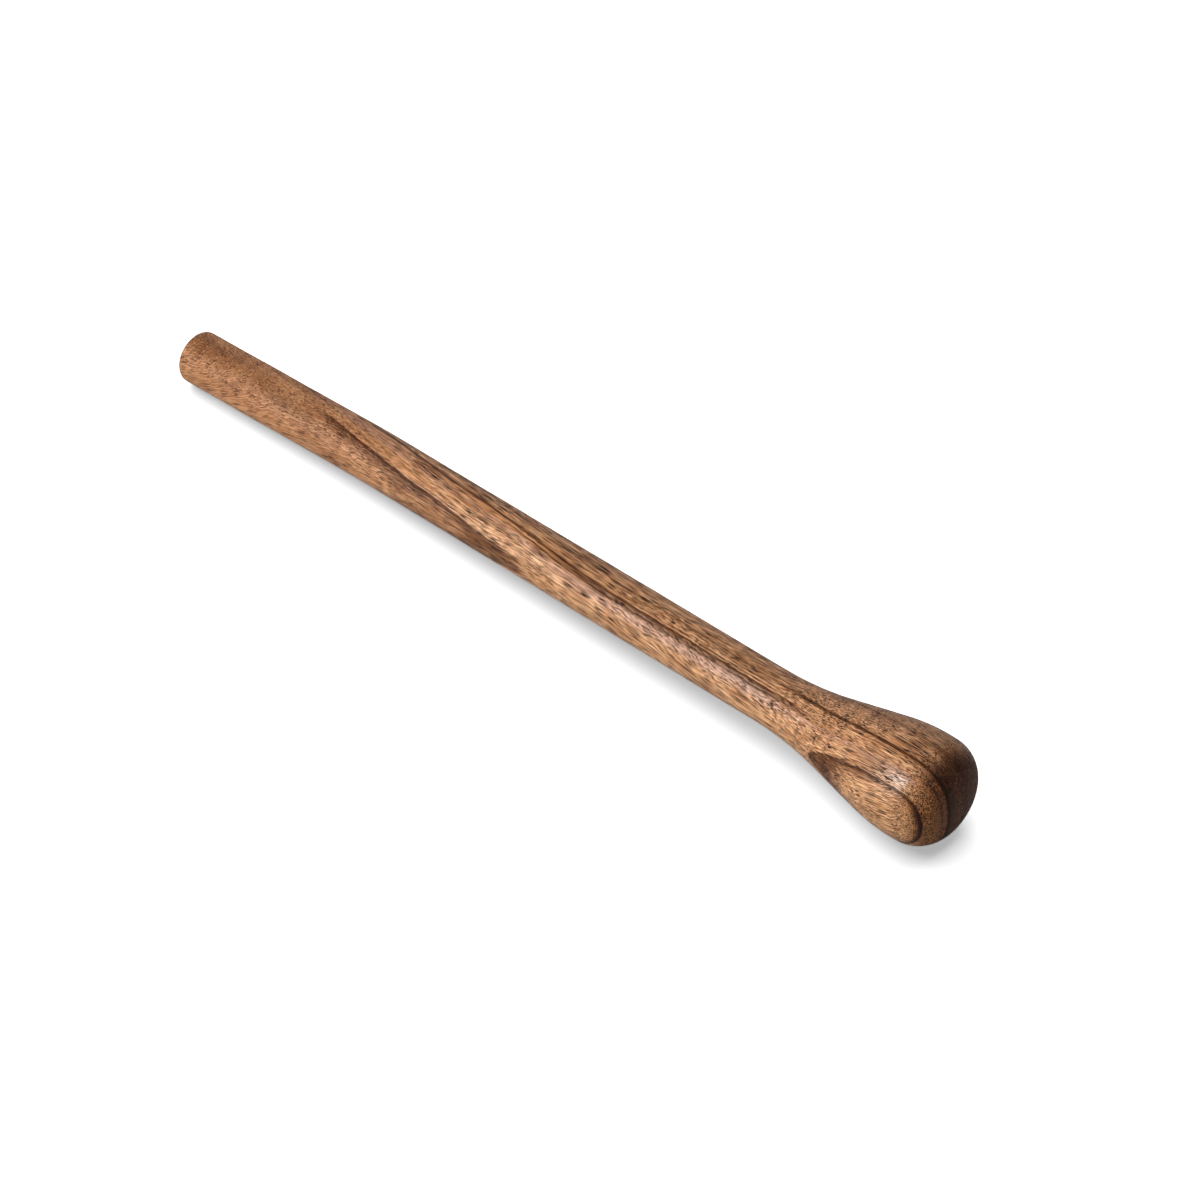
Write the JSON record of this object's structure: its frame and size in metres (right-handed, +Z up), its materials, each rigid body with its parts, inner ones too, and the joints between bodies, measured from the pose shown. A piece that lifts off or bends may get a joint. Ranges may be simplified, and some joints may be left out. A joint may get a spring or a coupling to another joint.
{
  "type": "wooden mallet",
  "caption": "Wooden mallet turned from one piece of hardwood, with a slim round handle, a hollow neck and a rounded club head with a shallow domed end.",
  "frame": {"origin": "on the plane the mallet rests on, under the middle of its bounding box", "axes": "+X runs level from the butt of the handle to the head, +Z up. The turning axis lies over X and climbs 1.6 degrees towards the head, because the head is thicker than the handle. The butt stretch is bent 1.8 degrees towards -Y."},
  "size_m": [0.3552, 0.0384, 0.0384],
  "materials": {
    "hardwood": "oiled satin, mid brown with darker growth rings and fine open pores"
  },
  "bodies": {
    "root": {"turned_mallet": "hardwood"}
  },
  "joints": []
}
